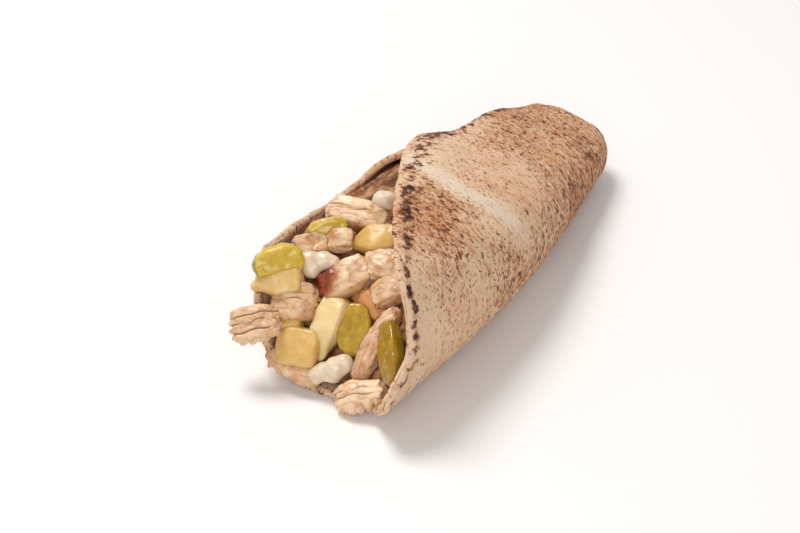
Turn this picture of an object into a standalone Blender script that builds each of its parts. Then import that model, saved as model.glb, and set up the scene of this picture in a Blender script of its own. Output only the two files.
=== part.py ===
"""A gyro wrap: one flatbread rolled round a filling of chicken, potato and pickle with white sauce.

The roll lies along Y on the floor z = 0, its open mouth towards -Y and its folded tail towards +Y.
The filling runs from the mouth to the tail, and the pieces that show in the mouth lie on its slope.
"""
from math import cos, radians, sin

import bmesh
import bpy
from mathutils import Euler, Matrix, Vector, noise
from mathutils.bvhtree import BVHTree

# ---- sizes in metres, angles in degrees ----
BREAD = 0.0030                                        # thickness of the flatbread
GAP = 0.0004                                          # air left between pieces that touch

# The roll's section is a squashed circle. Its half width and height are given at stations along Y.
STATION_Y = (-0.095, -0.043, 0.0085, 0.060, 0.107)
HALF_WIDTH = (0.0364, 0.0414, 0.0408, 0.0337, 0.0271)
HEIGHT = (0.0745, 0.0643, 0.0544, 0.0414, 0.0287)
SQUARENESS = 2.35                                     # 2 is an ellipse, more is boxier
SAG = 0.0015                                          # the soft roll settles this far into the floor
SAG_BLEND = 0.0008                                    # height over which the flat underside begins
UNEVEN = 0.0005                                       # height of the bread's broad bumps
BUMP_SIZE = 0.030                                     # width of one broad bump
TAIL_Y = 0.109                                        # where the tail ends
TAIL_ROUND = 0.010                                    # radius of the rounded tail

# Round the roll, angles run from the underside (0) up the near side (90) to the crest (180).
# The bread's front edge: its angle round the roll, and where along Y the edge stands there.
FRONT_ANGLE = (-108, -50, 20, 62, 90, 118, 144, 189, 222)
FRONT_Y = (-0.075, -0.091, -0.094, -0.1085, -0.1005, -0.0970, -0.0850, -0.0316, 0.0154)
INNER_SHOWN = -108                                    # top of the inner end of the bread in the mouth
INNER_TUCKED = -150                                   # and further back, where it passes under the flap
TUCK_Y = (-0.012, 0.024)                              # the inner end goes under the flap between these
FLAP_ALONG = (0.0, 0.12, 0.4, 0.75, 1.0)              # shares of the flap's length, from its corner back
FLAP_ANGLE = (222, 210, 213, 222, 226)                # and the angle that its outer end reaches there
LAP_ANGLE = (130, 190)                                # over these angles the flap climbs over the inner end
LAP_RISE = 1.2 * BREAD
SHEET_CELLS = (33, 17)                                # round the roll, along the roll
SHEET_END_Y = TAIL_Y - 0.0006                         # the sheet's own end, within the rounded tail
DEGREES_A_METRE = 1500.0                              # turn round the roll for a step along its skin
TUCKED_END_Y = 0.0975                                 # middle of the folded-in end that shuts the tail
TUCKED_END_BULGE = 0.0075                             # half its thickness along Y
TUCKED_RINGS = 6                                      # rings of points from one pole to the other
TUCKED_STEPS = 18                                     # points in each ring

# The filling's slope in the mouth rises from the lip to a level top, and banks up on the far wall.
SLOPE_FOOT = (-0.095, 0.007)                          # Y and Z where the slope starts
SLOPE_RUN = 0.080
SLOPE_RISE = 0.049
FAR_BANK = 7.0                                        # metres of rise for a square metre of -X
NEAR_BANK = 16.0                                      # and for a square metre of +X
CORE_UNDER = 0.0085                                   # the core's slope lies this far under the pieces' tops
CORE_CLEAR = 0.0011                                   # and its sides this far inside the bread
CORE_Y = (-0.087, 0.0865)
CORE_CELLS = (22, 12)                                 # round the core, along it
SPACE_X = 0.06                                        # half the width of the open space over the slope
SPACE_Y = (-0.12, 0.04)
SPACE_TOP = 0.09
SPACE_CELLS = (8, 8)                                 # across the slope, along it

# Each kind of piece: its colour, roughness, how boxy it is seen from above and from the side,
# how lumpy and how bent it is.
CHICKEN = dict(colour=(0.62, 0.36, 0.22), roughness=0.45, plan=4, side=4.5, lumps=0.16, bend=0.25)
POTATO = dict(colour=(0.80, 0.60, 0.22), roughness=0.40, plan=6, side=6, lumps=0.10, bend=0.0)
PICKLE = dict(colour=(0.36, 0.36, 0.05), roughness=0.22, plan=2.1, side=7, lumps=0.05, bend=0.12)
SAUCE = dict(colour=(0.86, 0.80, 0.68), roughness=0.25, plan=2.2, side=2.4, lumps=0.30, bend=0.1)

# The pieces in the mouth, front ones first: a piece further back is cut clear of those before it.
# Place is X and Y on the slope and how far the middle is sunk under it, in millimetres. Turn is the
# spin on the slope from +X towards the tail, the pitch of the long axis and the roll round it.
# Size is length, width and depth in millimetres.
PIECES = (
    ("potato_cube", POTATO, (-17, -89, 4), (20, 0, 0), (16, 15, 12)),
    ("potato_tall", POTATO, (-9, -81, 4), (93, 0, -10), (24, 11, 11)),
    ("pickle_right", PICKLE, (21, -86, 1), (98, 0, -10), (27, 10, 6)),
    ("chicken_folded", CHICKEN, (11.5, -82.5, 3), (64, 0, 10), (31, 8, 7)),
    ("pickle_middle", PICKLE, (1, -79, 3), (105, 0, 10), (21, 13, 5)),
    ("sauce_upper", SAUCE, (-21, -66, 1), (45, 0, 0), (15, 11, 7)),
    ("sauce_lower", SAUCE, (-2, -91, 2), (48, 0, 0), (17, 9, 6)),
    ("sauce_top", SAUCE, (-10, -34, 1), (25, 0, 0), (9, 8, 7)),
    ("potato_small", POTATO, (-24.5, -86, 3), (20, 0, 0), (13, 8, 9)),
    ("chicken_left", CHICKEN, (-24, -79, 2), (30, 0, 0), (18, 15, 11)),
    ("chicken_outer", CHICKEN, (-34, -89.5, -5), (50, 0, 0), (18, 13, 8)),
    ("chicken_charred", CHICKEN, (-10, -66, 4), (52, 0, 0), (22, 13, 11)),
    ("chicken_ragged_1", CHICKEN, (2, -58, 4), (2, 0, 0), (17, 12, 10)),
    ("chicken_ragged_2", CHICKEN, (9, -66, 4), (26, 0, 0), (16, 10, 9)),
    ("potato_wedge_right", POTATO, (-5, -50, 4), (23, 0, 0), (18, 11, 11)),
    ("chicken_top", CHICKEN, (-16, -43, 5), (12, 0, 0), (26, 12, 10)),
    ("potato_wedge_left", POTATO, (-32, -77.5, -2), (42, 0, 0), (19, 10, 7)),
    ("chicken_slice_1", CHICKEN, (-26, -62, 3), (38, 0, 0), (14, 9, 8)),
    ("chicken_slice_2", CHICKEN, (-17, -55, 3), (36, 0, 0), (13, 8, 8)),
    ("pickle_left", PICKLE, (-33.5, -73, -5), (55, 0, 30), (20, 14, 5)),
    ("pickle_sliver", PICKLE, (-23, -54, 0), (47, 0, 30), (16, 7, 4)),
    ("chicken_shreds", CHICKEN, (12, -95, 3), (12, -10, 0), (20, 11, 7)),
    ("chicken_thin", CHICKEN, (-17, -94, 2), (0, 0, 0), (21, 8, 4)),
    ("chicken_pink", CHICKEN, (2, -70, 7), (-25, 0, 0), (18, 9, 8)),
)
PIECE_CUTS = 2                                        # cuts in each side of the cube a piece starts as
BREAD_COLOUR = (0.62, 0.36, 0.19)
CORE_COLOUR = (0.50, 0.28, 0.15)
LUMP_PITCH = 1.7                                      # lumps across a piece
MILLIMETRE = 0.001


def empty_scene():
    for thing in list(bpy.data.objects):
        bpy.data.objects.remove(thing, do_unlink=True)


def collection(name):
    group = bpy.data.collections.new(name)
    bpy.context.scene.collection.children.link(group)
    return group


def food_material(name, colour, roughness):
    material = bpy.data.materials.new(name)
    material.use_nodes = True
    surface = material.node_tree.nodes["Principled BSDF"]
    surface.inputs["Base Color"].default_value = (*colour, 1.0)
    surface.inputs["Roughness"].default_value = roughness
    surface.inputs["Metallic"].default_value = 0.0
    return material


def add_object(name, body, group, material=None):
    mesh = bpy.data.meshes.new(name)
    bmesh.ops.triangulate(body, faces=body.faces)
    bmesh.ops.recalc_face_normals(body, faces=body.faces)
    body.to_mesh(mesh)
    body.free()
    thing = bpy.data.objects.new(name, mesh)
    group.objects.link(thing)
    if material:
        mesh.materials.append(material)
    return thing


def smooth(value, start, stop):
    """0 before start, 1 after stop, and an S-curve between."""
    share = min(max((value - start) / (stop - start), 0.0), 1.0)
    return share * share * (3.0 - 2.0 * share)


def curve_through(value, places, heights):
    """Height at value of a smooth curve through the given heights at the given places."""
    last = len(places) - 1
    cell = 0
    while cell < last - 1 and value > places[cell + 1]:
        cell += 1

    def slope_at(knot):
        low, high = max(knot - 1, 0), min(knot + 1, last)
        return (heights[high] - heights[low]) / (places[high] - places[low])

    width = places[cell + 1] - places[cell]
    share = (value - places[cell]) / width
    rest = 1.0 - share
    low_end = heights[cell] * (1.0 + 2.0 * share) * rest ** 2
    high_end = heights[cell + 1] * (1.0 + 2.0 * rest) * share ** 2
    return low_end + high_end + width * share * rest * (rest * slope_at(cell) - share * slope_at(cell + 1))


def rest_on_floor(height):
    """Flattens what would sink under the floor, with a soft start."""
    if height < -SAG_BLEND:
        return 0.0
    if height < SAG_BLEND:
        return (height + SAG_BLEND) ** 2 / (4.0 * SAG_BLEND)
    return height


def roll_point(angle, y, inside=0.0, lap=True):
    """A point of the roll's outer surface, or one lying inside it by the given depth."""
    half_width = curve_through(y, STATION_Y, HALF_WIDTH)
    half_height = curve_through(y, STATION_Y, HEIGHT) / 2.0
    across, down = sin(radians(angle)), cos(radians(angle))
    bulk = abs(across / half_width) ** SQUARENESS + abs(down / half_height) ** SQUARENESS
    reach = bulk ** (-1.0 / SQUARENESS)
    rounding = min(max((y - TAIL_Y) / TAIL_ROUND + 1.0, 0.0), 1.0)
    reach -= TAIL_ROUND * (1.0 - (1.0 - rounding ** 2) ** 0.5)
    reach += UNEVEN * noise.noise(Vector((across, down, y / BUMP_SIZE)))
    if lap:
        reach += LAP_RISE * smooth(angle, *LAP_ANGLE)
    middle = half_height - SAG
    height = rest_on_floor(middle - reach * down)
    pull = (reach - inside) / reach
    return Vector((reach * across * pull, y, middle + (height - middle) * pull))


def slope_height(x, y):
    """Height of the pieces' tops in the mouth."""
    share = min(max((y - SLOPE_FOOT[0]) / SLOPE_RUN, 0.0), 1.0)
    bank = (NEAR_BANK if x > 0.0 else FAR_BANK) * x * x
    return SLOPE_FOOT[1] + SLOPE_RISE * share * (2.0 - share) + bank


def slope_frame(x, y):
    """Axes standing on the slope: X across it, Y up it, Z out of it."""
    step = MILLIMETRE
    across = Vector((2 * step, 0.0, slope_height(x + step, y) - slope_height(x - step, y)))
    up = Vector((0.0, 2 * step, slope_height(x, y + step) - slope_height(x, y - step)))
    out = across.cross(up).normalized()
    across.normalize()
    frame = Matrix((across, out.cross(across), out)).transposed().to_4x4()
    frame.translation = (x, y, slope_height(x, y))
    return frame


def join_rings(body, rings, closed=True):
    """Faces between each ring of points and the next."""
    for ring, after in zip(rings, rings[1:]):
        count = len(ring)
        for corner in range(count if closed else count - 1):
            turn = (corner + 1) % count
            body.faces.new((ring[corner], ring[turn], after[turn], after[corner]))


def bread_sheet(name, group, grow=0.0):
    """The rolled flatbread: an open sheet given its thickness by Solidify, grown all over by grow."""
    columns, rows = SHEET_CELLS
    spare_angle = grow * DEGREES_A_METRE
    body = bmesh.new()
    lines = []
    for row in range(rows + 1):
        along = row / rows
        line = []
        for column in range(columns + 1):
            around = column / columns
            front = FRONT_ANGLE[0] + around * (FRONT_ANGLE[-1] - FRONT_ANGLE[0])
            start = curve_through(front, FRONT_ANGLE, FRONT_Y) - grow
            y = start + along * (SHEET_END_Y - start)
            tuck = (INNER_TUCKED - INNER_SHOWN) * smooth(y, *TUCK_Y) - spare_angle
            flap = curve_through(along, FLAP_ALONG, FLAP_ANGLE) - FLAP_ANGLE[0] + spare_angle
            angle = front + tuck * (1.0 - around) ** 3 + flap * around ** 3
            line.append(body.verts.new(roll_point(angle, y, -grow)))
        lines.append(line)
    join_rings(body, lines, closed=False)
    sheet = add_object(name, body, group)
    skin = sheet.modifiers.new("thickness", "SOLIDIFY")
    skin.thickness = BREAD + 2.0 * grow
    skin.offset = -1.0
    return sheet


def tucked_end(group):
    """The folded-in end of the bread: a cushion that shuts the tail, its rim inside the sheet."""
    body = bmesh.new()
    rings = []
    for ring in range(1, TUCKED_RINGS):
        lean = radians(180.0 * ring / TUCKED_RINGS - 90.0)
        y = TUCKED_END_Y + TUCKED_END_BULGE * sin(lean)
        line = []
        for step in range(TUCKED_STEPS):
            edge = roll_point(360.0 * step / TUCKED_STEPS, TUCKED_END_Y, BREAD / 2.0, lap=False)
            middle = Vector((0.0, TUCKED_END_Y, curve_through(TUCKED_END_Y, STATION_Y, HEIGHT) / 2.0))
            spot = middle + (edge - middle) * cos(lean) ** 0.5
            line.append(body.verts.new((spot.x, y, spot.z)))
        rings.append(line)
    join_rings(body, rings)
    body.faces.new(rings[0])
    body.faces.new(rings[-1])
    return add_object("tucked_end", body, group)


def cut(thing, tool, operation="DIFFERENCE"):
    change = thing.modifiers.new(tool.name, "BOOLEAN")
    change.operation = operation
    change.solver = "EXACT"
    change.object = tool


def filling_core(group):
    """The roll's inside, filled from the mouth to the tail."""
    steps, rings = CORE_CELLS
    body = bmesh.new()
    lines = []
    for ring in range(rings + 1):
        y = CORE_Y[0] + (CORE_Y[1] - CORE_Y[0]) * ring / rings
        around = [roll_point(360.0 * step / steps, y, BREAD + CORE_CLEAR, lap=False) for step in range(steps)]
        lines.append([body.verts.new(point) for point in around])
    join_rings(body, lines)
    body.faces.new(lines[0])
    body.faces.new(lines[-1])
    return add_object("filling", body, group, food_material("filling", CORE_COLOUR, 0.5))


def mouth_space(group):
    """The space over the filling's slope: a block whose underside is the slope."""
    columns, rows = SPACE_CELLS
    body = bmesh.new()
    lines = []
    for row in range(rows + 1):
        y = SPACE_Y[0] + (SPACE_Y[1] - SPACE_Y[0]) * row / rows
        line = []
        for column in range(columns + 1):
            x = SPACE_X * (2.0 * column / columns - 1.0)
            line.append(body.verts.new((x, y, slope_height(x, y) - CORE_UNDER)))
        lines.append(line)
    join_rings(body, lines, closed=False)
    raised = bmesh.ops.extrude_face_region(body, geom=body.faces[:])
    for corner in raised["geom"]:
        if isinstance(corner, bmesh.types.BMVert):
            corner.co.z = SPACE_TOP
    return add_object("mouth_space", body, group)


def piece_body(kind, size, seed, grow=0.0):
    """A lump of food: a cut cube drawn in to a rounded block, then bent, made uneven and grown by grow."""
    length, width, depth = (MILLIMETRE * side for side in size)
    body = bmesh.new()
    bmesh.ops.create_cube(body, size=2.0)
    bmesh.ops.subdivide_edges(body, edges=body.edges[:], cuts=PIECE_CUTS, use_grid_fill=True)
    for corner in body.verts:
        x, y, z = corner.co
        ring = (abs(x) ** kind["plan"] + abs(y) ** kind["plan"]) ** (kind["side"] / kind["plan"])
        spot = corner.co / (ring + abs(z) ** kind["side"]) ** (1.0 / kind["side"])
        bump = 1.0 + kind["lumps"] * noise.noise(spot * LUMP_PITCH + Vector((seed, 0.0, 0.0)))
        spot *= bump
        lift = kind["bend"] * (0.5 - spot.x ** 2)
        corner.co = Vector((spot.x * length, spot.y * width, (spot.z + lift) * depth)) / 2.0
    bmesh.ops.recalc_face_normals(body, faces=body.faces)
    body.normal_update()
    moves = [corner.normal * grow for corner in body.verts]
    for corner, move in zip(body.verts, moves):
        corner.co += move
    return body


def place_piece(thing, place, turn):
    x, y, sunk = (MILLIMETRE * value for value in place)
    spin, pitch, roll = (radians(value) for value in turn)
    stand = slope_frame(x, y) @ Matrix.Translation((0.0, 0.0, -sunk))
    thing.matrix_world = stand @ Euler((roll, -pitch, spin), "XYZ").to_matrix().to_4x4()


def shape_tree(thing):
    """The object's evaluated surface in the world, for finding what it touches."""
    view = bpy.context.evaluated_depsgraph_get()
    shaped = thing.evaluated_get(view)
    mesh = shaped.to_mesh()
    corners = [thing.matrix_world @ vertex.co for vertex in mesh.vertices]
    tree = BVHTree.FromPolygons(corners, [tuple(face.vertices) for face in mesh.polygons])
    shaped.to_mesh_clear()
    return tree


empty_scene()
wrap = collection("gyro_wrap")
cutters = collection("cutters")

bread = bread_sheet("flatbread", wrap)
bread.data.materials.append(food_material("flatbread", BREAD_COLOUR, 0.75))
cut(bread, tucked_end(cutters), "UNION")
bread_room = bread_sheet("flatbread_room", cutters, GAP)

core = filling_core(wrap)
cut(core, mouth_space(cutters))
tools = []
for number, (name, kind, place, turn, size) in enumerate(PIECES):
    piece = add_object(name, piece_body(kind, size, number), wrap,
                       food_material(name, kind["colour"], kind["roughness"]))
    room = add_object(name + "_room", piece_body(kind, size, number, GAP), cutters)
    for thing in (piece, room):
        place_piece(thing, place, turn)
    bpy.context.view_layer.update()
    tree = shape_tree(room)
    if tree.overlap(shape_tree(bread)):
        cut(piece, bread_room)
    for tool, tool_tree in tools:
        if tree.overlap(tool_tree):
            cut(piece, tool)
    tools.append((room, tree))

core_tree = shape_tree(core)
for tool, tree in tools:
    if tree.overlap(core_tree):
        cut(core, tool)

for tool in cutters.objects:
    tool.hide_render = True
    tool.display_type = "WIRE"
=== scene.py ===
"""The looks of a gyro wrap: a flatbread rolled round chicken, potato, pickle and white sauce.

The roll lies along Y with its open mouth towards -Y. Every piece starts from its CAD node.
"""
from math import cos, radians, sin

import bmesh
import bpy
import numpy as np
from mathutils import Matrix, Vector, noise


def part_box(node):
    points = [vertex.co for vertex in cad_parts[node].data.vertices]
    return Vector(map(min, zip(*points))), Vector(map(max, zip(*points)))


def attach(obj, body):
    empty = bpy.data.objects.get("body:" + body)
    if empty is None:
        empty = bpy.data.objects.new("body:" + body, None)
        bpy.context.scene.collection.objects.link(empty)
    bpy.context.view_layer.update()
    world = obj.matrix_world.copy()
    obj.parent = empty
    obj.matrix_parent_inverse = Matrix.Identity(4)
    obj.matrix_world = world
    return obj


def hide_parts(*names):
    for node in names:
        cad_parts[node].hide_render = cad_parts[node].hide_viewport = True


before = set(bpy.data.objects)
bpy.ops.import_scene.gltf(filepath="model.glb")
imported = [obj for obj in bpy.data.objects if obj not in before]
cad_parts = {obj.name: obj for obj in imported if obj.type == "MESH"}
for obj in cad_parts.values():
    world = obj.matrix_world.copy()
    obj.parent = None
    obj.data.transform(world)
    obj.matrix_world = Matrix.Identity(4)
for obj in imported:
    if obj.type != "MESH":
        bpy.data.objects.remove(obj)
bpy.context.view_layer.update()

# ---- Flatbread -------------------------------------------------------------------------------
# One round of soft wheat bread, baked on a hot plate, so that it is flecked and scorched brown.
# It is rolled round the filling like a cone, its outer end passing over its inner one, and the
# narrow end is folded in. Its front edge stays open and its scorched rim is rounded.
MM = 0.001
BREAD = 0.0030                                        # thickness
STATION_Y = (-0.095, -0.043, 0.0085, 0.060, 0.107)
HALF_WIDTH = (0.0364, 0.0414, 0.0408, 0.0337, 0.0271)
HEIGHT = (0.0745, 0.0643, 0.0544, 0.0414, 0.0287)
SQUARENESS = 2.35                                     # 2 is an ellipse, more is boxier
SAG = 0.0015                                          # the soft roll settles this far into the floor
SAG_BLEND = 0.0008
UNEVEN = 0.0005                                       # height of the broad bumps
BUMP_SIZE = 0.030                                     # and their width
CURL_Y = 0.099                                        # where the tail starts to curl in
CURL_RADIUS = 0.010
FRONT_ANGLE = (-108, -50, 20, 62, 90, 118, 144, 189, 222)
FRONT_Y = (-0.075, -0.091, -0.094, -0.1080, -0.0975, -0.0945, -0.0845, -0.0316, 0.0154)
TUCK_TURN = -62                                       # degrees that the inner end goes on under the flap
TUCK_Y = (-0.004, 0.030)                              # places between which it comes to do so
INNER_WAVE = 4.0                                      # degrees that its edge waves to and fro
CORNER_CUT = 4.5 * MM                                 # how far the flap's corner is rounded off
FLAP_ALONG = (0, 0.12, 0.4, 0.75, 1.0)                # shares of the flap's length, from its corner
FLAP_TURN = (0, -19, -20, -17, -12)                   # degrees that its outer end stops short there
LAP_ANGLE = (130, 190)                                # over these angles the flap climbs over the inner end
LAP_RISE = 1.2 * BREAD
ROUND_CELLS = 210
ALONG_CELLS = 176
RIM_CELLS = 6                                         # rows that round off the thickness at an open edge
CURL_CELLS = 10
CAP_CELLS = 16                                        # rings of the folded-in end
CAP_SLOT = 0.0034                                     # depth of its middle
CAP_HOLE = 0.03                                       # share of its width left open at the very middle
PLEATS = 7
PLEAT_DEPTH = 1.3 * MM
TAIL_BULGE = 5.6 * MM                                 # how far the folded end swells on the near side
CREASE_Y = -0.009                                     # where the pale crease starts, low on the side
CREASE_BOW = 0.012                                    # how far it bows towards the mouth
CREASE_TURN = (155, 46)                               # the angle where it bows furthest, and its spread


def smooth(value, low, high):
    """0 before low, 1 after high, and an S-curve between."""
    share = np.clip((value - low) / (high - low), 0, 1)
    return share * share * (3 - 2 * share)


def hump(value, middle, width):
    """1 at the middle, falling off to both sides."""
    return np.exp(-((value - middle) / width) ** 2)


def curve_through(value, places, heights):
    """Height at value of a smooth curve through the given heights at the given places."""
    places = np.array(places, float)
    heights = np.array(heights, float)
    last = len(places) - 1
    low = np.maximum(np.arange(last + 1) - 1, 0)
    high = np.minimum(np.arange(last + 1) + 1, last)
    slope = (heights[high] - heights[low]) / (places[high] - places[low])
    cell = np.clip(np.searchsorted(places, value) - 1, 0, last - 1)
    width = places[cell + 1] - places[cell]
    share = (value - places[cell]) / width
    rest = 1 - share
    ends = heights[cell] * (1 + 2 * share) * rest ** 2 + heights[cell + 1] * (1 + 2 * rest) * share ** 2
    return ends + width * share * rest * (rest * slope[cell] - share * slope[cell + 1])


def bumps(points, size, seed=0.0):
    """Smooth noise from about -1 to 1 at each point, with bumps of the given size."""
    shape = points.shape[:-1]
    spots = points.reshape(-1, 3) / size + (seed, 0.37 * seed, 1.7 * seed)
    return np.array([noise.noise(Vector(spot)) for spot in spots]).reshape(shape)


def stack(*columns):
    """Points made of one array for each coordinate."""
    return np.stack(np.broadcast_arrays(*columns), axis=-1)


def store(mesh, name, values):
    """Keeps one number or one vector for each corner of the mesh, for its material to read."""
    kind, key = ("FLOAT_VECTOR", "vector") if values.ndim == 2 else ("FLOAT", "value")
    layer = mesh.attributes.new(name, kind, "POINT")
    layer.data.foreach_set(key, values.astype(np.float32).ravel())


# Columns go round the roll and rows along it, both close together at the open edges.
quarter = np.linspace(0, 90, RIM_CELLS + 1)
rim_steps = BREAD / 2 * (1 - np.cos(np.radians(quarter)))
side_steps = rim_steps / 0.2
around = np.concatenate([side_steps[:-1], np.linspace(side_steps[-1], 1 - side_steps[-1], ROUND_CELLS),
                         1 - side_steps[:-1][::-1]])
front = FRONT_ANGLE[0] + around * (FRONT_ANGLE[-1] - FRONT_ANGLE[0])
start = curve_through(front, FRONT_ANGLE, FRONT_Y)
edge_ring = stack(np.sin(np.radians(front)), np.cos(np.radians(front)), 0 * front)
start = start + 0.8 * MM * bumps(edge_ring, 0.22) + 0.5 * MM * bumps(edge_ring, 0.07, 5.0)
start = start + CORNER_CUT * smooth(around, 0.95, 1.0) ** 2
edge_slope = np.gradient(start) / np.gradient(np.radians(front) * 0.036)
lean = np.sqrt(1 + np.minimum(edge_slope ** 2, 9.0))

body_rows = np.linspace(0, 1, ALONG_CELLS)
rim_y = start + rim_steps[:-1, None] * lean
body_y = start + rim_steps[-1] * lean + body_rows[:, None] * (CURL_Y - start - rim_steps[-1] * lean)
curl_turn = np.radians(np.linspace(0, 90, CURL_CELLS + 1))[1:, None] + 0 * start
cap_share = np.linspace(0, 1 - CAP_HOLE, CAP_CELLS + 1)[1:, None] + 0 * start
row_y = np.concatenate([rim_y, body_y, CURL_Y + 0 * curl_turn, CURL_Y + 0 * cap_share])
curl = np.concatenate([0 * rim_y, 0 * body_y, curl_turn, np.pi / 2 + 0 * cap_share])
cap = np.concatenate([0 * rim_y, 0 * body_y, 0 * curl_turn, cap_share])

section_y = row_y + CURL_RADIUS * np.sin(curl)
along = (section_y - start) / (CURL_Y + CURL_RADIUS - start)
tuck = TUCK_TURN * smooth(row_y, *TUCK_Y) + INNER_WAVE * bumps(stack(0, 0, row_y), 0.017, 40.0)
tuck = tuck + 3.0 * hump(row_y, -0.016, 0.016)
flap = curve_through(along, FLAP_ALONG, FLAP_TURN) + 2.2 * bumps(stack(0, 0, row_y), 0.012)
angle = front + tuck * (1 - around) ** 3 + flap * around ** 3

half_width = curve_through(np.minimum(section_y, 0.107), STATION_Y, HALF_WIDTH)
half_height = curve_through(np.minimum(section_y, 0.107), STATION_Y, HEIGHT) / 2
across = np.sin(np.radians(angle))
down = np.cos(np.radians(angle))
reach = np.abs(across / half_width) ** SQUARENESS + np.abs(down / half_height) ** SQUARENESS
reach = reach ** (-1 / SQUARENESS)
lap = smooth(angle, *LAP_ANGLE)

# How far each place is from the open edges, and the relief that the baking and rolling left.
edge_far = (row_y - start) / lean + 1.0 * (curl > 0)
turn_rate = np.radians(FRONT_ANGLE[-1] - FRONT_ANGLE[0] + 3 * flap * around ** 2)
flap_far = (1 - around) * reach * turn_rate
inner_far = around * reach * turn_rate
open_far = np.minimum(np.minimum(edge_far, flap_far), inner_far)
skin = stack(across * 0.036, down * 0.036, section_y)
crease_y = CREASE_Y - CREASE_BOW * hump(angle, *CREASE_TURN)
crease_spread = 0.0060 + 0.0028 * bumps(skin, 0.013, 6.0)
crease = hump(row_y + 1.8 * MM * bumps(skin, 0.010, 8.0), crease_y, crease_spread)
crease = crease * smooth(angle, 92, 125) * smooth(angle, 214, 190)
wrinkle = bumps(stack(np.radians(angle) * 0.036 * 0.22, 0, section_y), 0.0016, 3.0)
wrinkled = smooth(section_y, -0.03, 0.03) * 0.7 + 0.3
relief = 0.28 * MM * bumps(skin, 0.009) + 0.14 * MM * bumps(skin, 0.0035, 9.0)
relief = relief + 0.10 * MM * wrinkled * wrinkle
relief = relief + 0.35 * MM * crease + 0.30 * MM * hump(open_far, 2.6 * MM, 1.3 * MM)
# The far wall flares out at the mouth, and the flap's corner stands up like an ear.
flare = hump(angle, -96, 38) * smooth(section_y, -0.040, -0.080)
ear = hump(edge_far, 0, 0.016) * hump(flap_far, 0, 0.018)
rise = UNEVEN * bumps(stack(across, down, section_y / BUMP_SIZE), 1.0) + LAP_RISE * lap
rise = rise + 2.2 * MM * ear + 2.6 * MM * flare
flap_wave = 0.3 + 3.2 * hump(row_y, 0.060, 0.022) + 0.9 * bumps(stack(0, 0, row_y), 0.015, 24.0)
rise = rise + MM * flap_wave * hump(flap_far, 0, 0.013) * smooth(curl, 1.2, 0.2)
rise = rise + 2.3 * MM * hump(angle, 150, 30) * smooth(section_y, 0.070, 0.100)
rim_short = np.clip(BREAD / 2 - open_far, 0, BREAD / 2)
rim_drop = BREAD / 2 - np.sqrt((BREAD / 2) ** 2 - rim_short ** 2)
pleat_place = (angle / 360 * PLEATS + 0.25 * np.sin(np.radians(angle * 2 + 40))) % 1
pleat = (1 - pleat_place) * smooth(pleat_place, 0, 0.12)
pleated = smooth(curl, 1.1, 1.6) * (1 - 0.75 * cap)
tail_bulge = TAIL_BULGE * hump(angle, 120, 52) * smooth(curl, 0.1, 1.3) * (1 - cap)


def bread_face(depth, relief_share):
    """The bread's surface at the given depth under its outer one, as a grid of points."""
    fold = CURL_RADIUS + 0.35 * LAP_RISE * lap - depth
    inward = reach + rise + relief_share * relief - depth
    inward = inward - (fold + 0.65 * LAP_RISE * lap) * (1 - np.cos(curl))
    inward = inward * (1 - cap)
    y = row_y + fold * np.sin(curl) - CAP_SLOT * smooth(cap, 0.02, 0.5)
    y = y + PLEAT_DEPTH * pleated * pleat + tail_bulge
    middle = half_height - SAG
    height = middle - inward * down
    height = np.where(height < -SAG_BLEND, 0,
                      np.where(height < SAG_BLEND, (height + SAG_BLEND) ** 2 / (4 * SAG_BLEND), height))
    under = np.where(down > 0.3, depth * smooth(middle - inward * down, 0.004, -0.001), 0)
    return stack(inward * across, y, height + under)


outer = bread_face(rim_drop, 1.0)
inner = bread_face(BREAD - rim_drop, -0.6)
rows, columns = outer.shape[:2]
number = np.arange(rows * columns).reshape(rows, columns)
layer = rows * columns
corner, right, far, far_right = number[:-1, :-1], number[:-1, 1:], number[1:, :-1], number[1:, 1:]
outer_faces = stack(corner, right, far_right, far).reshape(-1, 4)
inner_faces = stack(corner, far, far_right, right).reshape(-1, 4) + layer
loop = number[-1]
end_faces = stack(loop[:-1], loop[1:], loop[1:] + layer, loop[:-1] + layer).reshape(-1, 4)
faces = np.concatenate([outer_faces, inner_faces, end_faces]).tolist()

mesh = bpy.data.meshes.new("wrap_bread")
mesh.from_pydata(np.concatenate([outer.reshape(-1, 3), inner.reshape(-1, 3)]).tolist(), [], faces)
mesh.shade_smooth()
bread = bpy.data.objects.new("wrap_bread", mesh)
bpy.context.scene.collection.objects.link(bread)

# What its material reads: places on the skin, how flecked it is, how toasted, and how scorched.
# Flecks lie thickest on the shoulder behind the mouth, along the near side and towards the tail.
skin_round = np.radians(angle - 130) * (half_width + half_height) / 2
flecked = 0.38 + 0.50 * hump(angle, 146, 24) * hump(section_y, -0.048, 0.026)
flecked = flecked + 0.28 * smooth(section_y, 0.015, 0.05)
flecked = flecked + 0.30 * hump(angle, 80, 26) * smooth(section_y, -0.07, -0.02)
flecked = flecked - 0.28 * hump(angle, 92, 34) * hump(edge_far, 0.006, 0.016) - 0.42 * crease
flecked = flecked + 0.28 * bumps(skin, 0.016, 2.0)
shoulder_patch = hump(angle + 9 * bumps(skin, 0.012, 31.0), 202, 17) * hump(section_y, 0.034, 0.020)
toasted = 0.24 + 0.42 * hump(angle, 148, 26) * hump(section_y, -0.048, 0.028)
toasted = toasted + 0.36 * smooth(section_y, -0.01, 0.07)
toasted = toasted + 0.15 * smooth(angle, 110, 60) * smooth(section_y, -0.08, -0.04) - 0.6 * crease
toasted = toasted - 0.25 * hump(edge_far, 0.0, 0.018) * (1 - hump(angle, 150, 20))
toasted = toasted + 0.22 * bumps(skin, 0.020, 7.0) - 0.45 * shoulder_patch
rim_place = 2.7 * MM + 0.8 * MM * bumps(edge_ring, 0.20, 12.0)
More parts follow.
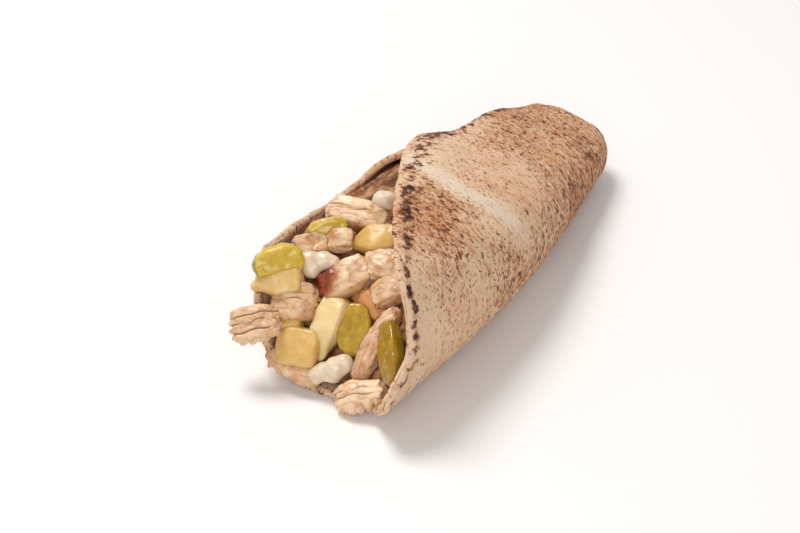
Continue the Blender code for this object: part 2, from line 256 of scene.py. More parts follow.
rim_blots = smooth(bumps(edge_ring, 0.075, 15.0), -0.35, 0.30)
rim_scorch = hump(edge_far, rim_place, 1.8 * MM) * (0.42 + 0.58 * rim_blots)
rim_scorch = rim_scorch + 0.35 * rim_blots * hump(edge_far, rim_place + 2.4 * MM, 2.4 * MM)
side_blots = smooth(bumps(stack(0, 0, section_y), 0.0045, 18.0), -0.3, 0.35)
side_scorch = (0.65 + 0.40 * side_blots) * hump(flap_far, 2.0 * MM, 1.9 * MM)
side_scorch = side_scorch * smooth(section_y, 0.105, 0.08)
scorched = np.maximum(rim_scorch * smooth(angle, 40, 78), side_scorch)
inner_flecked = 0.05 + 0.45 * hump(np.minimum(edge_far, inner_far), 2.0 * MM, 2.5 * MM)


def both(outside, inside):
    """Values for every point of the bread, those of its outer face first."""
    faces = [np.broadcast_to(values, angle.shape).ravel() for values in (outside, inside)]
    return np.concatenate(faces)


store(mesh, "skin", np.concatenate([stack(skin_round, section_y + 0.01 * cap, 0).reshape(-1, 3),
                                    stack(skin_round, section_y, 0.5).reshape(-1, 3)]) / MM)
store(mesh, "flecked", both(flecked - 0.15 * shoulder_patch, inner_flecked))
store(mesh, "toasted", both(toasted, 0.12 + 0.2 * bumps(skin, 0.012, 4.0)))
store(mesh, "scorched", both(scorched, 0.35 * rim_scorch * smooth(angle, 40, 78)))
store(mesh, "crease", both(crease + 0.45 * shoulder_patch, 0))
weld = bmesh.new()
weld.from_mesh(mesh)
bmesh.ops.remove_doubles(weld, verts=weld.verts, dist=0.004 * MM)
bmesh.ops.recalc_face_normals(weld, faces=weld.faces)
weld.to_mesh(mesh)
weld.free()


def shade(red, green, blue):
    """A colour given as it looks on a screen, from 0 to 255, as a shader wants it."""
    parts = (np.array((red, green, blue)) / 255) ** 2.2
    return (*(float(part) for part in parts), 1.0)


class Wire:
    """A shader socket in an expression: sums on it add Math nodes, and node() adds any other node."""

    def __init__(self, tree, socket=None):
        self.tree = tree
        self.socket = socket

    def node(self, kind, settings, sockets, output=0):
        """Adds a node: first its settings, then the values or links of its sockets."""
        added = self.tree.nodes.new(kind)
        for name, value in settings.items():
            setattr(added, name, value)
        for name, value in sockets.items():
            if isinstance(value, Wire):
                self.tree.links.new(value.socket, added.inputs[name])
            else:
                added.inputs[name].default_value = value
        return Wire(self.tree, added.outputs[output])

    def maths(self, operation, *values):
        return self.node("ShaderNodeMath", {"operation": operation}, dict(enumerate(values)))

    def __add__(self, other):
        return self.maths("ADD", self, other)

    def __mul__(self, other):
        return self.maths("MULTIPLY", self, other)

    def __sub__(self, other):
        return self.maths("SUBTRACT", self, other)

    def __rsub__(self, other):
        return self.maths("SUBTRACT", other, self)

    __radd__ = __add__
    __rmul__ = __mul__

    def read(self, name, output=2):
        """What the mesh keeps under that name: output 2 is its number, output 1 its vector."""
        return self.node("ShaderNodeAttribute", {"attribute_name": name}, {}, output)

    def stretch(self, x, y, z):
        """These places, scaled along each axis."""
        return self.node("ShaderNodeVectorMath", {"operation": "MULTIPLY"}, {0: self, 1: (x, y, z)})

    def shift(self, x, y, z):
        """These places, moved along each axis."""
        return self.node("ShaderNodeVectorMath", {"operation": "ADD"}, {0: self, 1: (x, y, z)})

    def warp(self, size, amount):
        """These places, pushed about by noise of that size, in millimetres, by up to that amount."""
        push = self.node("ShaderNodeTexNoise", {}, {"Vector": self, "Scale": 1 / size, "Detail": 2.0}, 1)
        centred = push.shift(-0.5, -0.5, -0.5).stretch(amount, amount, amount)
        return self.node("ShaderNodeVectorMath", {"operation": "ADD"}, {0: self, 1: centred})

    def grain(self, size, detail=3.0, rough=0.55):
        """Noise of that size in millimetres, from 0 to 1, read at these places."""
        return self.node("ShaderNodeTexNoise", {}, {"Vector": self, "Scale": 1 / size, "Detail": detail,
                                                    "Roughness": rough})

    def cells(self, size):
        """How far these places are from the nearest cell's middle, for cells of that size in mm."""
        return self.node("ShaderNodeTexVoronoi", {"feature": "F1"}, {"Vector": self, "Scale": 1 / size})

    def step(self, low, high):
        """0 where this is under low, 1 over high."""
        return self.node("ShaderNodeMapRange", {"interpolation_type": "SMOOTHSTEP"},
                         {"Value": self, "From Min": low, "From Max": high})

    def colour(self, below, above):
        """The first colour where this is 0, the second where it is 1."""
        return self.node("ShaderNodeMix", {"data_type": "RGBA"}, {0: self, 6: below, 7: above}, 2)

    def bump(self, strength, distance, under=None):
        sockets = {"Height": self, "Strength": strength, "Distance": distance}
        if under is not None:
            sockets["Normal"] = under
        return self.node("ShaderNodeBump", {}, sockets)


def finish(name, constants):
    """A new material, with its shader's constant sockets set: the wire to build on, and the shader."""
    material = bpy.data.materials.new(name)
    material.use_nodes = True
    surface = material.node_tree.nodes["Principled BSDF"]
    for socket, value in constants.items():
        surface.inputs[socket].default_value = value
    return material, Wire(material.node_tree), surface


def plug(surface, **wires):
    """Links wires to the shader's sockets: base_color goes to Base Color."""
    for name, wire in wires.items():
        wire.tree.links.new(wire.socket, surface.inputs[name.replace("_", " ").title()])


crust, wire, surface = finish("flatbread_crust", {"IOR": 1.4, "Specular IOR Level": 0.35,
                                                  "Subsurface Weight": 0.10, "Subsurface Scale": 0.002,
                                                  "Subsurface Radius": (1.0, 0.5, 0.3)})
skin_at = wire.read("skin", 1)
flecks_wanted = wire.read("flecked")
toast_wanted = wire.read("toasted")
scorch_wanted = wire.read("scorched")
crease_wire = wire.read("crease")

mottle = skin_at.grain(7.0, 4.0, 0.6)
fine_mottle = skin_at.stretch(0.6, 1.0, 1.0).grain(2.0, 4.0, 0.65)
toast = (toast_wanted + (mottle - 0.5) * 1.2 + (fine_mottle - 0.5) * 0.9).step(0.0, 1.0)
colour = toast.colour(shade(220, 188, 156), shade(203, 149, 106))
pinkish = skin_at.shift(0, 0, 30).grain(14.0, 2.0, 0.5).step(0.45, 0.75)
colour = (pinkish * 0.45).colour(colour, shade(214, 166, 138))
pale_patch = (crease_wire + (fine_mottle - 0.5) * 1.6 + (mottle - 0.5) * 1.4).step(0.35, 0.85)
colour = (pale_patch * 0.85).colour(colour, shade(222, 200, 178))

jagged = skin_at.warp(1.6, 1.5)
small = jagged.stretch(0.78, 1.1, 1.0).grain(1.5, 3.0, 0.62)
small_flecks = small.step(0.632 - 0.16 * flecks_wanted, 0.682 - 0.16 * flecks_wanted)
large = jagged.shift(40, 10, 0).stretch(0.74, 1.0, 1.0).grain(2.7, 4.0, 0.70)
large_flecks = large.step(0.650 - 0.15 * flecks_wanted, 0.695 - 0.15 * flecks_wanted)
haze = jagged.shift(0, 50, 0).stretch(0.6, 1.0, 1.0).grain(4.0, 4.0, 0.66)
haze_mask = haze.step(0.60 - 0.2 * flecks_wanted, 0.72 - 0.2 * flecks_wanted)
colour = (haze_mask * 0.55).colour(colour, shade(182, 120, 76))
colour = (small_flecks * 0.78).colour(colour, shade(140, 80, 46))
colour = (large_flecks * 0.85).colour(colour, shade(120, 62, 34))
deep = large.step(0.70 - 0.15 * flecks_wanted, 0.76 - 0.15 * flecks_wanted)
colour = (deep * 0.8).colour(colour, shade(74, 34, 20))

blotch = skin_at.warp(2.4, 2.4).grain(3.2, 4.0, 0.60)
scorch = blotch.step(0.66 - 0.25 * scorch_wanted, 0.72 - 0.25 * scorch_wanted)
scorch = scorch * scorch_wanted.step(0.08, 0.4)
char = blotch.step(0.75 - 0.24 * scorch_wanted, 0.82 - 0.24 * scorch_wanted)
char = char * scorch_wanted.step(0.3, 0.6)
halo = blotch.step(0.52 - 0.2 * scorch_wanted, 0.70 - 0.2 * scorch_wanted)
halo = halo * scorch_wanted.step(0.03, 0.5)
colour = (halo * 0.5).colour(colour, shade(166, 104, 66))
colour = (scorch * 0.85).colour(colour, shade(104, 54, 34))
colour = (char * 0.95).colour(colour, shade(46, 23, 24))

leather = skin_at.stretch(0.35, 1.0, 1.0).warp(2.0, 1.0).grain(1.3, 4.0, 0.6)
pores = skin_at.grain(0.6, 2.0, 0.6)
height = leather * 0.7 + pores * 0.25 + mottle * 0.4 - large_flecks * 0.25 - scorch * 0.35
plug(surface, base_color=colour, roughness=0.66 + 0.12 * pores - 0.1 * scorch,
     normal=height.bump(0.6, 0.0007))
mesh.materials.append(crust)
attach(bread, "root")
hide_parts("flatbread")

# ---- Filling ---------------------------------------------------------------------------------
# The inside of the roll: chopped chicken packed tight, which shows only as a broken bed between
# the pieces in the mouth. Its browns are darker than the chicken's own and its cracks near black:
# painted shade in the gaps between the pieces.
BED_GRID = 0.8 * MM
BED_CHUNK = 0.0075


def fine_solid(name, node, grid, rounds):
    """A CAD node's solid as a finer mesh with softened corners: its object, points and normals."""
    body = bmesh.new()
    body.from_mesh(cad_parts[node].data)
    bmesh.ops.remove_doubles(body, verts=body.verts, dist=0.001 * MM)
    mesh = bpy.data.meshes.new(name)
    body.to_mesh(mesh)
    body.free()
    thing = bpy.data.objects.new(name, mesh)
    bpy.context.scene.collection.objects.link(thing)
    finer = thing.modifiers.new("finer", "REMESH")
    finer.mode = "VOXEL"
    finer.voxel_size = grid
    softer = thing.modifiers.new("softer", "SMOOTH")
    softer.iterations = rounds
    view = bpy.context.evaluated_depsgraph_get()
    fine = bpy.data.meshes.new_from_object(thing.evaluated_get(view))
    fine.name = name
    thing.modifiers.clear()
    thing.data = fine
    fine.shade_smooth()
    return thing, read_points(fine), read_normals(fine)


def read_points(mesh):
    """Every point of the mesh, one row each."""
    points = np.empty(len(mesh.vertices) * 3, dtype=np.float32)
    mesh.vertices.foreach_get("co", points)
    return points.reshape(-1, 3).astype(float)


def read_normals(mesh):
    """Which way the surface faces at every point of the mesh."""
    normals = np.empty(len(mesh.vertices) * 3, dtype=np.float32)
    mesh.vertex_normals.foreach_get("vector", normals)
    return normals.reshape(-1, 3).astype(float)


def move_points(mesh, points):
    mesh.vertices.foreach_set("co", points.astype(np.float32).ravel())
    mesh.update()


def stand_in(thing, node, material):
    """The piece takes the place of its CAD node."""
    thing.data.materials.clear()
    thing.data.materials.append(material)
    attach(thing, "root")
    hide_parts(node)


def chunks(points, size):
    """How far each point is from the cracks between chunks of that size, and the chunk's own number."""
    gaps = []
    tones = []
    for spot in points / size:
        distance, places = noise.voronoi(Vector(spot))
        gaps.append(distance[1] - distance[0])
        tones.append(noise.noise(places[0] * 7.3))
    return np.array(gaps), np.array(tones)


bed, points, normals = fine_solid("chopped_bed", "filling", BED_GRID, 2)
shown = smooth(normals @ np.array((0.0, -0.5, 0.86)), 0.2, 0.6) * smooth(points[:, 1], 0.01, -0.005)
wavy = points + 2.6 * MM * stack(bumps(points, 0.005, 1.0), bumps(points, 0.005, 2.0), 0)
gap, tone = chunks(wavy * (1.0, 0.8, 1.3), BED_CHUNK)
lumps = 0.8 * MM * smooth(gap, 0.0, 0.22) + 1.3 * MM * tone - 0.3 * MM
lumps = lumps + 0.6 * MM * bumps(points * (1, 0.4, 1), 0.0018) + 0.8 * MM * bumps(points, 0.006, 5.0)
lumps = lumps - 4.5 * MM * smooth(points[:, 0], -0.017, -0.028)
move_points(bed.data, points + normals * (lumps * shown)[:, None])
store(bed.data, "grain", points / MM)
store(bed.data, "tone", tone)
# Closeness to the cracks between the chunks, which are painted near black as shade.
store(bed.data, "crack", 1 - smooth(gap, 0.02, 0.3))

chopped, wire, surface = finish("chopped_filling", {"IOR": 1.4, "Subsurface Weight": 0.15,
                                                    "Subsurface Scale": 0.002,
                                                    "Subsurface Radius": (1.0, 0.4, 0.25)})
grain_at = wire.read("grain", 1)
patch = grain_at.grain(3.0, 4.0, 0.6)
fibre = grain_at.stretch(0.3, 1.0, 1.0).grain(0.8, 3.0, 0.6)
# The bed's browns are darker than the chicken's own: painted shade in the gaps between the pieces.
colour = patch.step(0.35, 0.65).colour(shade(134, 82, 50), shade(186, 136, 96))
colour = (fibre.step(0.45, 0.7) * 0.6).colour(colour, shade(120, 66, 40))
colour = (wire.read("tone").step(0.1, 0.4) * 0.6).colour(colour, shade(204, 160, 106))
# Near-black cracks between the chunks: painted shade.
colour = (wire.read("crack") * patch.step(0.3, 0.7) * 0.8).colour(colour, shade(56, 22, 12))
plug(surface, base_color=colour, roughness=0.35 + 0.3 * fibre, normal=(fibre + patch).bump(0.5, 0.0005))
stand_in(bed, "filling", chopped)

# ---- Potato ----------------------------------------------------------------------------------
# Fried potato cut in cubes and wedges: soft, oily, pale yellow faces that are browned along
# their edges, with small pits where the cut face has broken.
POTATO_GRID = 0.38 * MM
POTATOES = (
    # node, how pale it is, how brown its edges are, rounds of softening, how pointed its front end is
    ("potato_cube", 0.30, 0.60, 22, 0.0),
    ("potato_tall", 0.90, 0.20, 16, 0.85),
    ("potato_small", 0.20, 0.70, 14, 0.0),
    ("potato_wedge_left", 0.40, 0.30, 8, 0.8),
    ("potato_wedge_right", 0.20, 0.75, 14, 0.75),
)


def own_axes(points):
    """The piece's middle and its own axes: along it, across it, and through it."""
    middle = (points.max(axis=0) + points.min(axis=0)) / 2
    values, axes = np.linalg.eigh(np.cov((points - points.mean(axis=0)).T))
    through = axes[:, 0] * (1 if axes[2, 0] > 0 else -1)
    lengthwise = axes[:, 2] * (1 if axes[:, 2] @ np.array((0.3, 1.0, 0.1)) > 0 else -1)
    return middle, np.array((lengthwise, np.cross(through, lengthwise), through))


def own_places(points):
    """Each point's place along the piece's own axes, in millimetres, and as a share of its size."""
    middle, axes = own_axes(points)
    places = (points - middle) @ axes.T / MM
    return places, places / np.abs(places).max(axis=0), axes


fried, wire, surface = finish("fried_potato", {"IOR": 1.42, "Subsurface Weight": 0.35,
                                               "Subsurface Scale": 0.003,
                                               "Subsurface Radius": (1.0, 0.6, 0.2),
                                               "Coat Roughness": 0.22})
grain_at = wire.read("grain", 1)
patch = grain_at.grain(4.5, 3.0, 0.55)
mealy = grain_at.grain(0.7, 3.0, 0.65)
paleness = (wire.read("pale") + (patch - 0.5) * 0.8).step(0.0, 1.0)
colour = paleness.colour(shade(212, 168, 90), shade(230, 204, 148))
brown = (wire.read("brown") + (grain_at.grain(2.0, 4.0, 0.6) - 0.5) * 0.9).step(0.25, 0.95)
colour = (brown * 0.8).colour(colour, shade(190, 118, 46))
colour = (mealy.step(0.55, 0.8) * 0.25).colour(colour, shade(196, 146, 66))
plug(surface, base_color=colour, roughness=0.34 + 0.2 * mealy,
     coat_weight=0.2 + 0.35 * patch.step(0.4, 0.6), normal=(mealy * 0.5 + patch).bump(0.3, 0.0005))

for seed, (node, pale, edge_brown, rounds, point) in enumerate(POTATOES):
    piece, points, normals = fine_solid(node + "_fried", node, POTATO_GRID, rounds)
    places, shares, axes = own_places(points)
    corners = np.sort(np.abs(shares), axis=1)
    edges = smooth(corners[:, 1] + 0.5 * corners[:, 0], 0.75, 1.35)
    relief = 0.70 * bumps(places, 5.5, seed + 1) + 0.12 * bumps(places, 1.3, seed) + 0.55 - 0.5 * edges
    narrow = point * smooth(-shares[:, 0], 0.0, 1.1)
    drawn_in = -(places[:, 1:] * narrow[:, None]) @ axes[1:] * MM
    move_points(piece.data, points + drawn_in + normals * (relief * MM)[:, None])
    store(piece.data, "grain", places + 40.0 * seed)
    store(piece.data, "pale", np.full(len(points), pale))
    store(piece.data, "brown", edges * edge_brown)
    stand_in(piece, node, fried)

# ---- Pickle ----------------------------------------------------------------------------------
# Slices of pickled cucumber: wet, clear yellow-green flesh with paler seeds, and a thin band of
# olive skin along one side.
PICKLE_GRID = 0.36 * MM
PICKLES = (
    # node, how bright and yellow its flesh is, and on which side its skin shows (x, y, z)
    ("pickle_left", 0.82, (-0.7, -0.6, -0.4)),
    ("pickle_sliver", 0.70, (0.6, 0.0, -0.8)),
    ("pickle_middle", 0.40, (0.8, 0.3, -0.5)),
    ("pickle_right", 0.20, (0.9, 0.3, -0.3)),
)
pickled, wire, surface = finish("pickled_cucumber", {"IOR": 1.38, "Subsurface Weight": 0.45,
                                                     "Subsurface Scale": 0.004,
                                                     "Subsurface Radius": (1.0, 0.8, 0.15),
                                                     "Coat Roughness": 0.08})
grain_at = wire.read("grain", 1)
cloudy = grain_at.grain(4.0, 3.0, 0.5)
streak = grain_at.stretch(0.35, 1.0, 1.0).grain(1.4, 3.0, 0.6)
brightness = (wire.read("bright") + (cloudy - 0.5) * 0.8).step(0.0, 1.0)
colour = brightness.colour(shade(150, 112, 26), shade(216, 182, 58))
seeds = grain_at.warp(1.0, 0.6).cells(2.6).step(0.34, 0.20) * wire.read("seeded")
colour = (seeds * 0.5).colour(colour, shade(206, 180, 96))
colour = (streak.step(0.5, 0.75) * 0.3).colour(colour, shade(122, 92, 18))
colour = (wire.read("rind").step(0.3, 0.9) * 0.8).colour(colour, shade(112, 100, 18))
plug(surface, base_color=colour, roughness=0.16 + 0.16 * cloudy, coat_weight=0.5 + 0.4 * streak,
     normal=(cloudy + streak * 0.3).bump(0.2, 0.0006))

for seed, (node, bright, rind_side) in enumerate(PICKLES):
    piece, points, normals = fine_solid(node + "_slice", node, PICKLE_GRID, 4)
    places, shares, axes = own_places(points)
    out = np.sqrt(shares[:, 0] ** 2 + shares[:, 1] ** 2)
    relief = 0.20 * bumps(places, 3.5, seed + 11) + 0.25 - 0.25 * smooth(out, 0.8, 0.3)
    move_points(piece.data, points + normals * (relief * MM)[:, None])
    store(piece.data, "grain", places + 30.0 * seed)
    store(piece.data, "bright", np.full(len(points), bright))
    store(piece.data, "seeded", smooth(out, 0.75, 0.35))
    facing = normals @ (np.array(rind_side) / np.linalg.norm(rind_side))
    store(piece.data, "rind", smooth(out, 0.74, 0.94) * smooth(facing, 0.0, 0.5))
    stand_in(piece, node, pickled)

# ---- Chicken ---------------------------------------------------------------------------------
# Roast chicken shaved and chopped off the stack: moist slices whose fibres run along them, torn
# at their ends, from pinkish white inside to tan and dark brown where they were seared.
CHICKEN_GRID = 0.36 * MM
FLOOR_GAP = 0.3 * MM                                  # nothing hangs lower than this
CHICKEN = (
    # node, tone from pale to tan, pinkness, depth of grooves, torn ends, number of cracks, fringe,
    # and the seared spots: where on the piece's box (x, y, z), how far they reach, how dark
    ("chicken_top", 0.0, 0.6, 0.22, 1.2, 1, 0,
     (((0.3, -0.9, -0.6), 6.5, 0.9), ((0.9, -0.6, -0.3), 4.0, 0.8))),
    ("chicken_slice_1", 0.35, 0.7, 0.16, 0.8, 0, 0, (((0.0, -0.2, 0.9), 4.0, 0.55),)),
    ("chicken_slice_2", 0.25, 0.7, 0.16, 0.8, 0, 0, (((-0.2, -0.4, 0.8), 3.0, 0.6),)),
    ("chicken_charred", 0.25, 0.4, 0.16, 0.8, 0, 0,
     (((-0.9, -0.5, 0.0), 7.6, 2.2), ((0.1, -0.9, -0.9), 6.0, 0.8))),
    ("chicken_ragged_1", 0.30, 0.4, 0.22, 2.0, 0, 0,
     (((-0.9, -0.7, 0.4), 4.0, 0.5), ((0.2, -0.6, 0.2), 2.5, 0.6))),
    ("chicken_ragged_2", 0.30, 0.4, 0.22, 2.0, 0, 0,
     (((0.0, -0.9, -0.6), 4.0, 0.5), ((0.3, -0.4, 0.5), 2.5, 0.6))),
    ("chicken_pink", 1.0, 1.0, 0.10, 0.5, 0, 0, ()),
    ("chicken_left", 0.40, 0.2, 0.14, 1.0, 1, 0,
     (((-0.6, -0.9, -0.4), 3.2, 1.0), ((0.9, -0.4, 0.0), 5.0, 0.5))),
    ("chicken_outer", 0.30, 0.6, 0.20, 2.2, 3, 0.8, ()),
    ("chicken_folded", 0.30, 1.9, 0.12, 0.6, 0, 0, (((0.0, -1.0, -0.6), 6.0, 0.55),)),
    ("chicken_shreds", 0.05, 0.2, 0.20, 1.8, 2, 2.6, ()),
    ("chicken_thin", 0.40, 0.2, 0.16, 1.4, 0, 0.8, (((-1.0, 0.0, 0.0), 5.0, 0.6),)),
)
roast, wire, surface = finish("roast_chicken", {"IOR": 1.4, "Subsurface Weight": 0.25,
                                                "Subsurface Scale": 0.003,
                                                "Subsurface Radius": (1.0, 0.55, 0.3),
                                                "Coat Roughness": 0.16})
grain_at = wire.read("grain", 1)
patch = grain_at.grain(4.0, 3.0, 0.55)
strand = grain_at.warp(3.0, 1.4).stretch(0.28, 1.0, 1.0).grain(1.1, 4.0, 0.65)
tone = (wire.read("tone") + (patch - 0.5) * 1.5 + (strand - 0.5) * 0.4).step(0.0, 1.0)
colour = tone.colour(shade(232, 201, 165), shade(198, 140, 82))
pink = grain_at.shift(0, 0, 60).stretch(0.3, 1.0, 1.0).grain(2.4, 3.0, 0.6).step(0.35, 0.7)
pink = wire.read("pink") * pink
colour = (pink * 0.25).colour(colour, shade(176, 120, 102))
tanned = grain_at.warp(3.0, 2.0).shift(0, 30, 0).stretch(0.6, 1.0, 1.0).grain(3.4, 4.0, 0.62)
colour = (tanned.step(0.48, 0.66) * 0.5).colour(colour, shade(192, 124, 58))
colour = (strand.step(0.52, 0.75) * 0.3).colour(colour, shade(166, 110, 66))
# Darker at the foot of each flake's step and in the cracks: painted shade in the recesses.
colour = (wire.read("groove").step(0.1, 0.8) * 0.55).colour(colour, shade(132, 76, 46))
seared_grain = grain_at.warp(2.0, 1.0).grain(2.2, 4.0, 0.6)
seared = (wire.read("seared") + (seared_grain - 0.5) * 0.9).step(0.15, 0.8)
colour = (seared * 0.85).colour(colour, shade(156, 80, 28))
burnt = (wire.read("seared") + (patch - 0.5) * 0.8).step(0.6, 1.05)
charred = strand.step(0.35, 0.62).colour(shade(92, 22, 12), shade(150, 62, 34))
colour = (burnt * 0.92).colour(colour, charred)
fibres = grain_at.stretch(0.22, 1.0, 1.0).grain(0.7, 3.0, 0.6)
plug(surface, base_color=colour, roughness=0.46 - 0.12 * patch + 0.1 * strand - 0.15 * burnt,
     coat_weight=0.2 + 0.5 * patch.step(0.48, 0.62) + 0.3 * burnt,
     normal=(strand * 0.4 + patch + fibres * 0.5).bump(0.32, 0.0006))


def seared_share(points, spots):
    """How seared each point is, by the spots on the piece's box."""
    low, high = points.min(axis=0), points.max(axis=0)
    share = np.zeros(len(points))
    for place, size, dark in spots:
        spot = (low + high) / 2 + np.array(place) * (high - low) / 2
        share = np.maximum(share, dark * hump(np.linalg.norm(points - spot, axis=1), 0, size * MM))
    return share


CRACK_SPREAD = (0.05, -0.42, 0.50, -0.72)             # where each crack runs, as a share of the half width


def crack_lines(places, count, spread):
    """How deep each place is in one of the cracks that run along the fibres."""
    deep = np.zeros(len(places))
    for number in range(count):
        line = spread * (CRACK_SPREAD[number] + 0.12 * noise.noise((count, number, 0.5)))
        wander = 1.1 * bumps(stack(places[:, 0], number * 9.0, 0.0), 5.0)
        reach_along = smooth(bumps(stack(places[:, 0], number * 5.0, 3.0), 7.0), -0.35, 0.1)
        deep = np.maximum(deep, reach_along * hump(places[:, 1], line + wander, 0.30))
    return deep


for seed, (node, tan, pinkness, groove, torn, cracks, fringe, spots) in enumerate(CHICKEN):
    piece, points, normals = fine_solid(node + "_meat", node, CHICKEN_GRID, 3)
    places, shares, axes = own_places(points)
    drift = places + 0.5 * stack(0, bumps(places, 5.0, seed + 3), bumps(places, 5.0, seed + 4))
    grooves = np.abs(bumps(drift * (0.22, 1, 1), 2.6, seed + 5)) * 4.5
    grooves = 1 - smooth(grooves, 0.0, 1.0)
    cleft = crack_lines(places, cracks, np.abs(places[:, 1]).max())
    slabs = bumps(places * (0.7, 1, 1), 6.0, seed + 8)
    torn_edge = bumps(drift * (0.5, 1, 1), 2.2, seed + 9)
    layers = 2.0 * bumps(drift * (0.5, 1, 1), 6.0, seed + 10) + 0.15 * torn_edge
    step_edge = smooth(layers % 1, 0.66, 1.0)
    flakes = np.floor(layers) + step_edge
    corners = np.sort(np.abs(shares), axis=1)
    edges = smooth(corners[:, 1] + 0.5 * corners[:, 0], 0.80, 1.35)
    relief = 0.45 + 0.45 * slabs + 0.07 * torn_edge + 0.36 * flakes - 0.3 * groove * grooves - 0.9 * cleft
    ends = smooth(np.abs(shares[:, 0]), 0.55, 1.0) * np.sign(shares[:, 0])
    tear = torn * ends * bumps(drift * (0.2, 1, 1), 1.5, seed + 7)
    hanging = smooth(-normals @ np.array((0.0, 0.5, 0.86)), 0.1, 0.7)
    drip = fringe * hanging * (0.35 + 1.1 * bumps(stack(drift[:, 0], 0.25 * drift[:, 1], 0), 1.3, seed))
    moved = points + normals * (relief * MM)[:, None] + axes[0] * (tear * MM)[:, None]
    moved = moved + np.array((0.0, -0.45, -0.89)) * (drip * MM)[:, None]
    moved[:, 2] = np.maximum(moved[:, 2], FLOOR_GAP)
    move_points(piece.data, moved)
    store(piece.data, "grain", places + 25.0 * seed)
    store(piece.data, "tone", np.full(len(points), tan))
    store(piece.data, "pink", np.full(len(points), pinkness))
    # The groove mark is painted shade: darkest at the foot of each flake's step and in the cracks.
    store(piece.data, "groove", np.maximum(0.55 * hump(layers % 1, 0.66, 0.10), cleft))
    store(piece.data, "seared", seared_share(points, spots) + 0.46 * edges)
    stand_in(piece, node, roast)

# ---- Sauce -----------------------------------------------------------------------------------
# Thick white garlic sauce, dropped on in blobs that have sunk into the gaps and run a little.
SAUCE_GRID = 0.5 * MM
SAUCES = (
    # node, then its drops: place from the middle of its box, in mm, and radius
    ("sauce_upper", ((-3.4, -0.8, 0.4, 4.4), (1.4, 1.6, 0.8, 3.8), (-1.4, -2.8, -1.6, 3.9),
                     (5.2, 2.6, 0.6, 2.9))),
    ("sauce_lower", ((-5.4, -2.4, -1.8, 3.5), (-5.6, -3.0, -4.0, 2.5), (-2.4, -1.4, 0.0, 3.8),
                     (1.8, 0.2, 2.0, 4.4), (4.6, 1.4, 4.2, 3.8), (1.2, -0.6, -0.8, 3.4))),
    ("sauce_top", ((-0.6, 0.0, -0.4, 4.2), (2.6, 0.8, 0.2, 3.6), (0.8, -1.0, 0.6, 3.4))),
)
garlic, wire, surface = finish("garlic_sauce", {"IOR": 1.45, "Subsurface Weight": 0.3,
                                                "Subsurface Scale": 0.003,
                                                "Subsurface Radius": (1.0, 0.8, 0.6),
                                                "Coat Roughness": 0.1})
grain_at = wire.read("grain", 1)
cloudy = grain_at.grain(3.0, 3.0, 0.5)
fleck = grain_at.grain(0.6, 2.0, 0.5).step(0.68, 0.78)
colour = cloudy.step(0.3, 0.7).colour(shade(231, 212, 188), shade(216, 192, 162))
colour = (fleck * 0.35).colour(colour, shade(180, 154, 116))
plug(surface, base_color=colour, roughness=0.2 + 0.12 * cloudy, coat_weight=0.4 + 0.2 * cloudy,
     normal=cloudy.bump(0.15, 0.0006))

for seed, (node, drops) in enumerate(SAUCES):
    low, high = (np.array(end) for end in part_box(node))
    body = bmesh.new()
    for x, y, z, radius in drops:
        made = bmesh.ops.create_icosphere(body, subdivisions=4, radius=radius * MM)
        place = Vector((low + high) / 2) + Vector((x, y, z)) * MM
        bmesh.ops.translate(body, verts=made["verts"], vec=place)
    blob = bpy.data.meshes.new(node + "_blob")
    body.to_mesh(blob)
    body.free()
    piece = bpy.data.objects.new(node + "_blob", blob)
    bpy.context.scene.collection.objects.link(piece)
    merged = piece.modifiers.new("merged", "REMESH")
    merged.mode = "VOXEL"
    merged.voxel_size = SAUCE_GRID
    eased = piece.modifiers.new("eased", "SMOOTH")
    eased.iterations = 60
    view = bpy.context.evaluated_depsgraph_get()
    fine = bpy.data.meshes.new_from_object(piece.evaluated_get(view))
    piece.modifiers.clear()
    piece.data = fine
    fine.shade_smooth()
    points = read_points(fine)
    normals = read_normals(fine)
    swell = 0.15 + 0.4 * bumps(points / MM, 3.2, seed + 20)
    move_points(fine, points + normals * (swell * MM)[:, None])
    store(fine, "grain", points / MM)
    stand_in(piece, node, garlic)

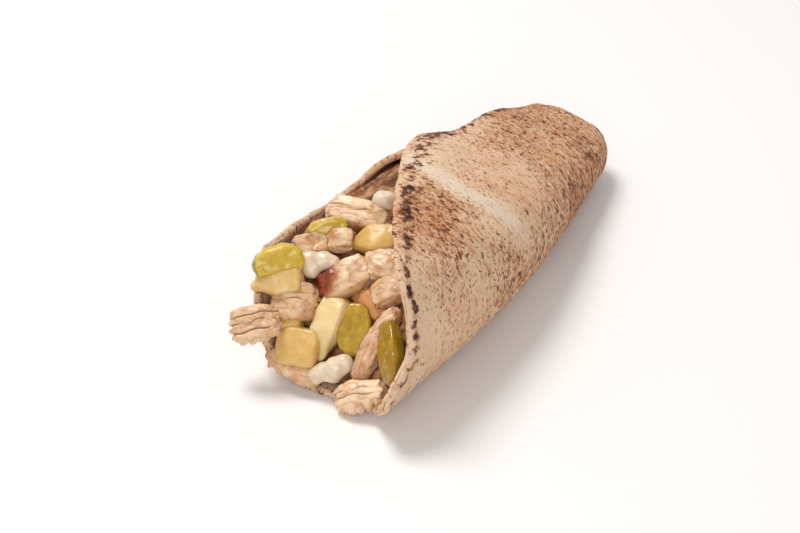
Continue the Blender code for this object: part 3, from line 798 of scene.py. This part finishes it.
# ---- Floor, light and camera -----------------------------------------------------------------
FLOOR_WIDTH = 6.0
CAMERA_AZIMUTH = radians(28.41)
CAMERA_ELEVATION = radians(33.0)
CAMERA_FAR = 0.752
CAMERA_AIM = Vector((-0.00874, -0.0230, 0.0169))
CAMERA_LENS = 85.0

body = bmesh.new()
bmesh.ops.create_grid(body, x_segments=8, y_segments=8, size=FLOOR_WIDTH / 2)
floor_mesh = bpy.data.meshes.new("floor")
body.to_mesh(floor_mesh)
body.free()
floor = bpy.data.objects.new("floor", floor_mesh)
bpy.context.scene.collection.objects.link(floor)
pale_paint, wire, surface = finish("pale_floor", {"Base Color": shade(240, 238, 237), "Roughness": 0.5})
floor_mesh.materials.append(pale_paint)


def area_light(name, place, size, power, colour):
    """A round soft light that faces the wrap."""
    lamp = bpy.data.lights.new(name, "AREA")
    lamp.shape = "DISK"
    lamp.size = size
    lamp.energy = power
    lamp.color = colour
    thing = bpy.data.objects.new(name, lamp)
    thing.location = place
    thing.rotation_euler = (CAMERA_AIM - Vector(place)).to_track_quat("-Z", "Y").to_euler()
    bpy.context.scene.collection.objects.link(thing)


area_light("key_light", (-0.52, 0.10, 1.25), 0.60, 12.2, (1.0, 0.985, 0.96))
area_light("front_fill", (0.7, -1.3, 0.8), 1.0, 8.4, (1.0, 0.99, 0.98))

world = bpy.data.worlds.new("studio")
world.use_nodes = True
world.node_tree.nodes["Background"].inputs["Color"].default_value = (1.0, 1.0, 1.0, 1.0)
world.node_tree.nodes["Background"].inputs["Strength"].default_value = 0.50
bpy.context.scene.world = world
bpy.context.scene.view_settings.view_transform = "Standard"

look = Vector((-sin(CAMERA_AZIMUTH) * cos(CAMERA_ELEVATION),
               cos(CAMERA_AZIMUTH) * cos(CAMERA_ELEVATION), -sin(CAMERA_ELEVATION)))
camera_data = bpy.data.cameras.new("camera")
camera_data.lens = CAMERA_LENS
camera = bpy.data.objects.new("camera", camera_data)
camera.location = CAMERA_AIM - look * CAMERA_FAR
camera.rotation_euler = look.to_track_quat("-Z", "Y").to_euler()
bpy.context.scene.collection.objects.link(camera)
bpy.context.scene.camera = camera
